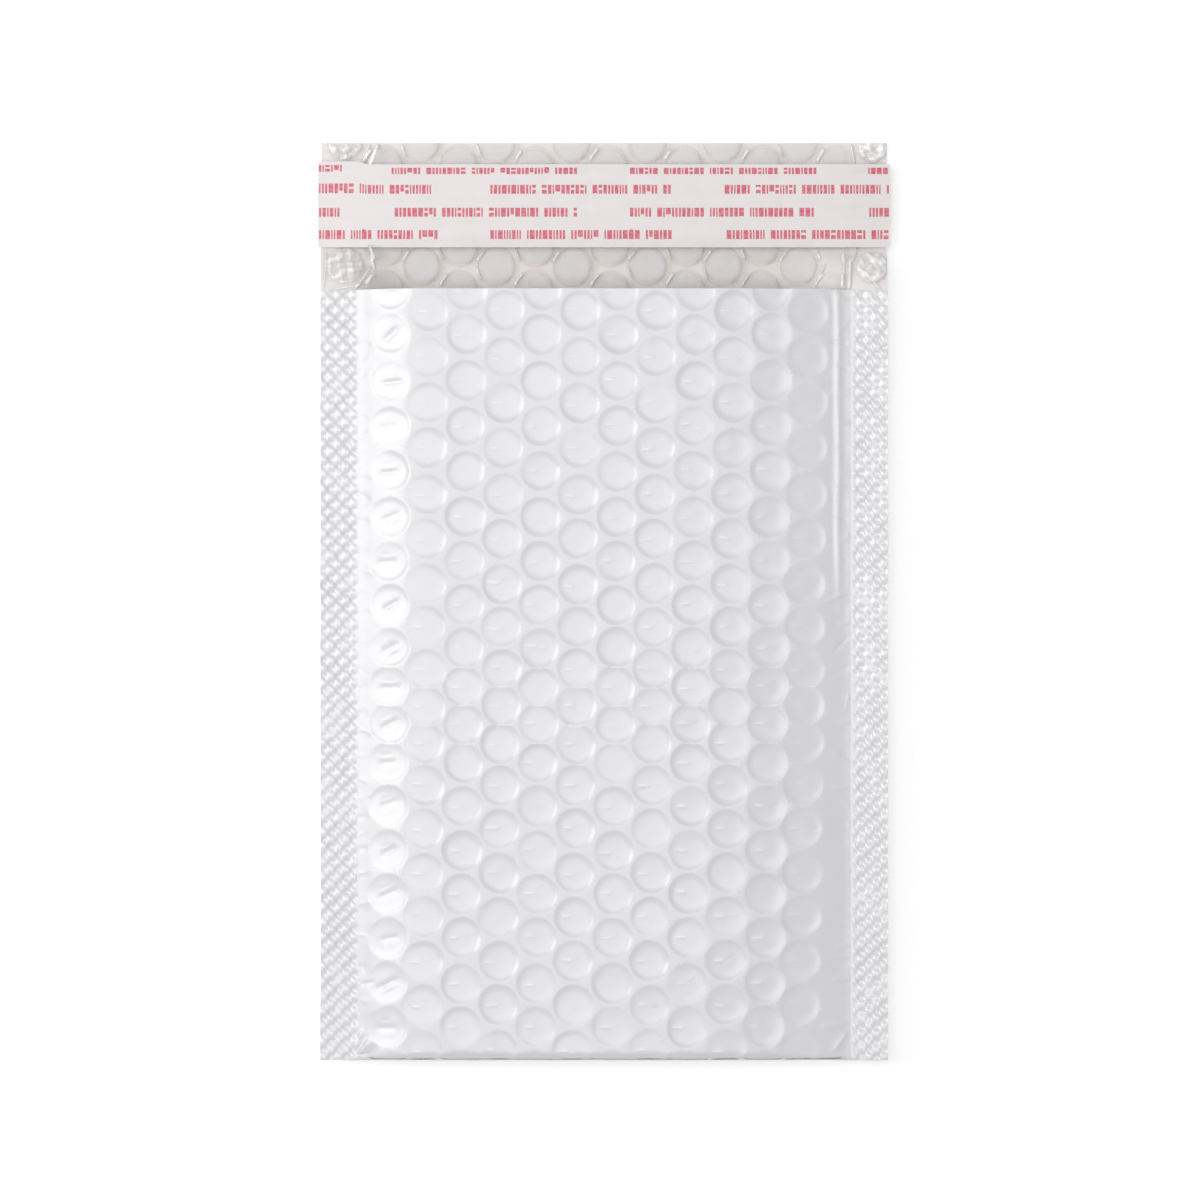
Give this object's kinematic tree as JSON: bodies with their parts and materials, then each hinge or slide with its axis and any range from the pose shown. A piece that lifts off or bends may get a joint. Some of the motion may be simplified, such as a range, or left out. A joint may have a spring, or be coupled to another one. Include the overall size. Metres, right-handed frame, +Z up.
{
  "type": "padded envelope",
  "caption": "White film mailing envelope lined with air-bubble sheet, flap open, with a printed peel-off liner over the flap's glue.",
  "frame": {"origin": "under the middle of the whole outline, on the surface that the envelope lies on", "axes": "+X across the envelope, +Y along it towards the flap, +Z up out of the front panel"},
  "size_m": [0.1516, 0.243, 0.0128],
  "materials": {
    "white_film": "white pearly polyethylene film, soft sheen, with an embossed diamond lattice in the side seals",
    "bubble_sheet": "clear air-bubble sheet, glossy",
    "adhesive": "pale hot-melt glue, glossy and tacky",
    "printed_liner": "near-white release liner, silky, with short red printed bars"
  },
  "bodies": {
    "root": {"outer_film": "white_film", "bubble_lining": "bubble_sheet", "adhesive_strip": "adhesive", "release_liner": "printed_liner"}
  },
  "joints": []
}
